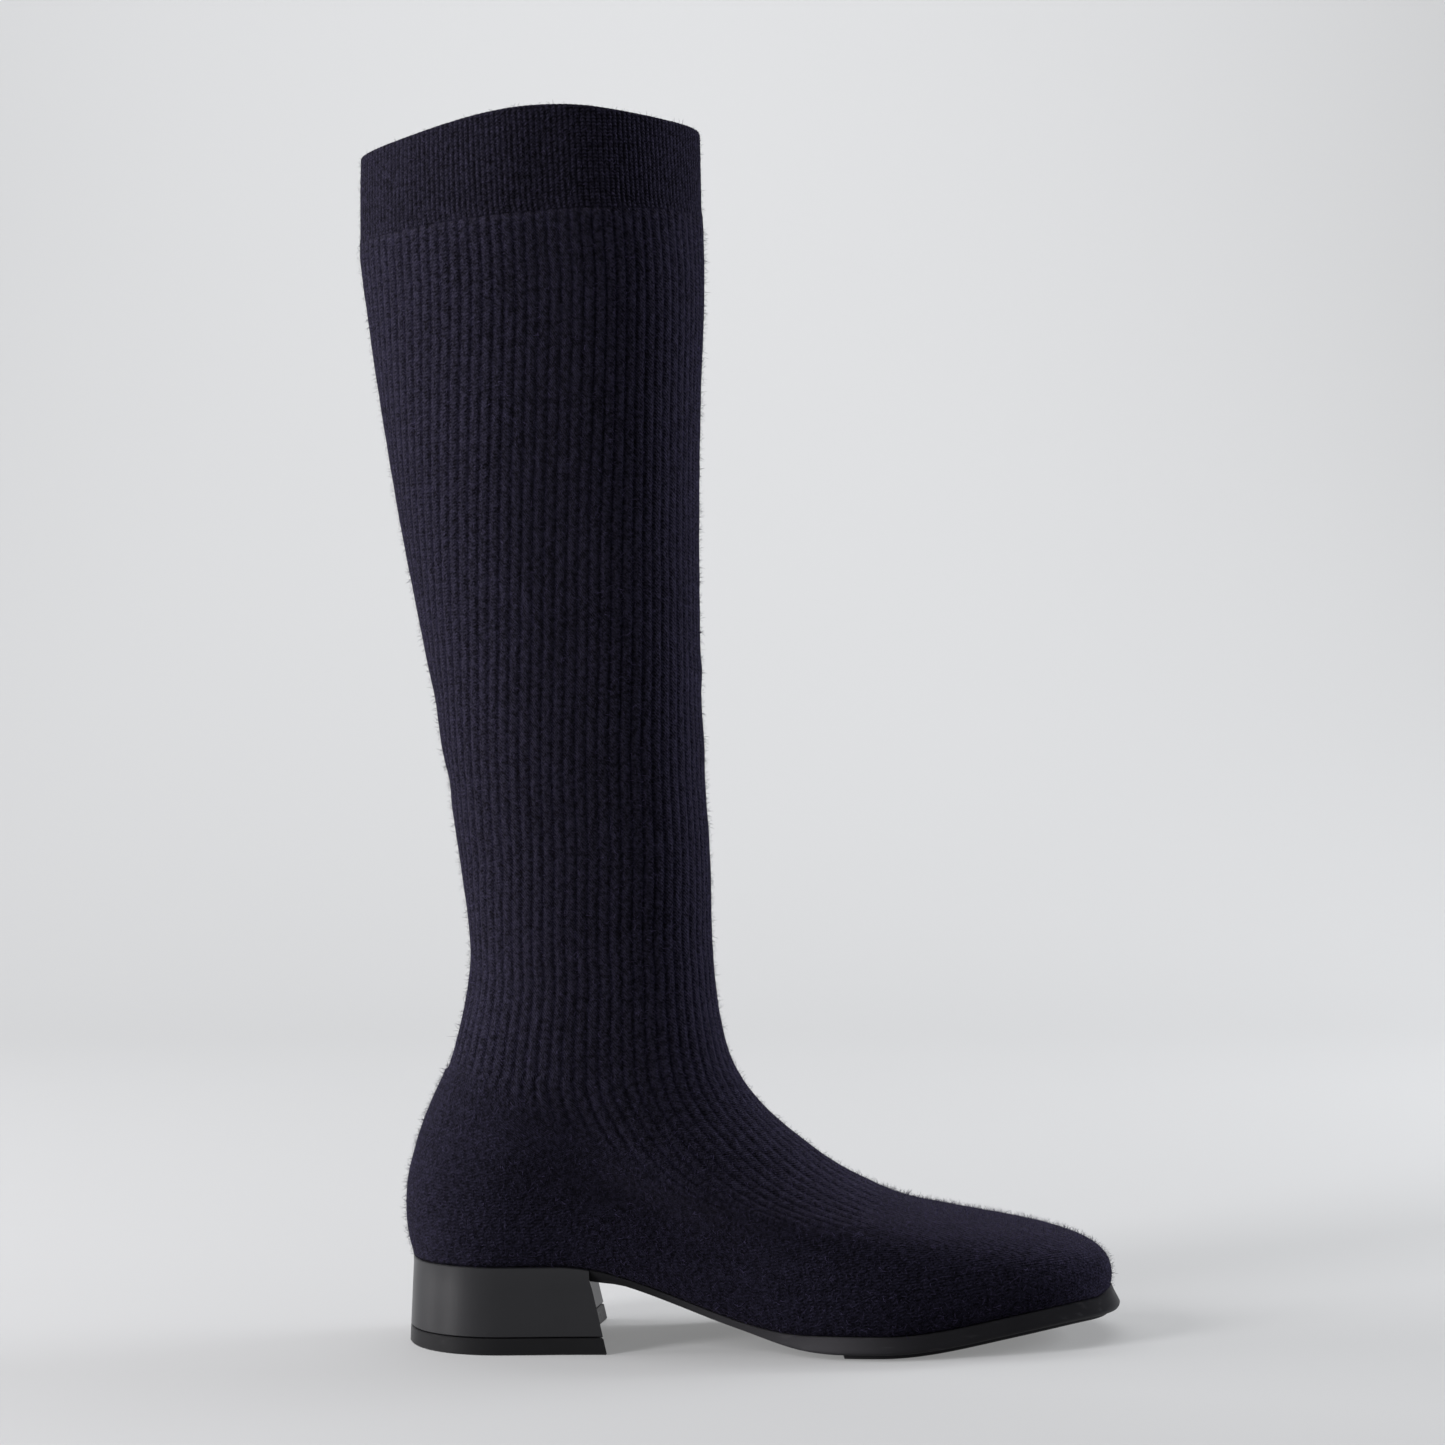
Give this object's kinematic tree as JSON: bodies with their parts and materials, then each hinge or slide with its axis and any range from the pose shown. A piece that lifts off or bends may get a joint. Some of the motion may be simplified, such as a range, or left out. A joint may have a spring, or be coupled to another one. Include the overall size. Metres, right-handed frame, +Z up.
{
  "type": "knitted sweater boot",
  "caption": "Tall pull-on boot for the right foot with a ribbed knit shaft, a plain knit foot, a thin sole and a low block heel.",
  "frame": {"origin": "middle of the boot's box, on the floor plane that heel and forefoot stand on", "axes": "+X towards the toe, +Y towards the inner side of the right foot, +Z up along the shaft"},
  "size_m": [0.2808, 0.0932, 0.4458],
  "materials": {
    "knit": "fuzzy dark navy knit with ribs",
    "sole_rubber": "satin dark grey",
    "heel_plastic": "satin gloss black",
    "lift_rubber": "satin black",
    "insole_board": "dull dark lining"
  },
  "bodies": {
    "root": {"upper": "knit", "outsole": "sole_rubber", "heel_block": "heel_plastic", "top_lift": "lift_rubber", "insole": "insole_board"}
  },
  "joints": []
}
